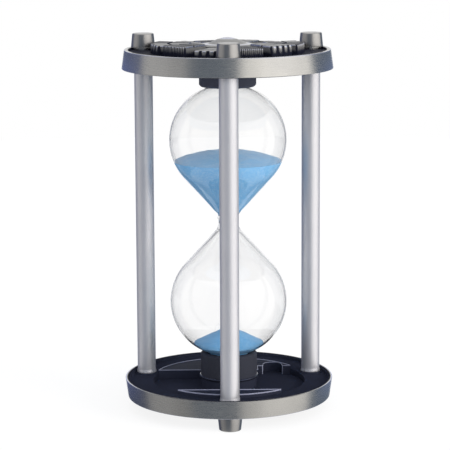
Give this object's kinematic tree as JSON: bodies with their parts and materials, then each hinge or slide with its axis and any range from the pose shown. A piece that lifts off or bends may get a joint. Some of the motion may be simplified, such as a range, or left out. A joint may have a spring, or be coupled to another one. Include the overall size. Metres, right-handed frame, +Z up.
{
  "type": "hourglass",
  "caption": "Hourglass with round cast metal end caps, slim pillars, a clear double bulb of blue sand and black cups, standing on small tapered feet.",
  "frame": {"origin": "on the table under the middle of the object, at the tips of the bottom feet", "axes": "+Z up along the axis of the glass, the front pillar towards -Y, +X to the right as seen from the front"},
  "size_m": [0.09, 0.09, 0.162],
  "materials": {
    "cast_pewter": "die-cast zinc, brushed, antique pewter plating",
    "liner_black": "moulded, polished black",
    "satin_aluminium": "satin anodised tube",
    "rod_steel": "zinc plated threaded rod",
    "dark_nickel": "turned, dark nickel plated",
    "cup_rubber": "moulded, dull black",
    "pad_felt": "pressed wool felt",
    "bulb_glass": "blown, clear",
    "plug_rubber": "moulded silicone rubber",
    "blue_sand": "fine dyed quartz sand, dull"
  },
  "bodies": {
    "root": {"bottom_cap": "cast_pewter", "top_cap": "cast_pewter", "bottom_liner": "liner_black", "top_liner": "liner_black", "front_pillar": "satin_aluminium", "left_pillar": "satin_aluminium", "right_pillar": "satin_aluminium", "front_tie_rod": "rod_steel", "left_tie_rod": "rod_steel", "right_tie_rod": "rod_steel", "bottom_front_foot": "dark_nickel", "bottom_left_foot": "dark_nickel", "bottom_right_foot": "dark_nickel", "top_front_foot": "dark_nickel", "top_left_foot": "dark_nickel", "top_right_foot": "dark_nickel", "lower_cup": "cup_rubber", "upper_cup": "cup_rubber", "lower_pad": "pad_felt", "upper_pad": "pad_felt", "glass_bulb": "bulb_glass", "fill_plug": "plug_rubber", "upper_sand": "blue_sand", "sand_stream": "blue_sand", "lower_sand": "blue_sand"}
  },
  "joints": []
}
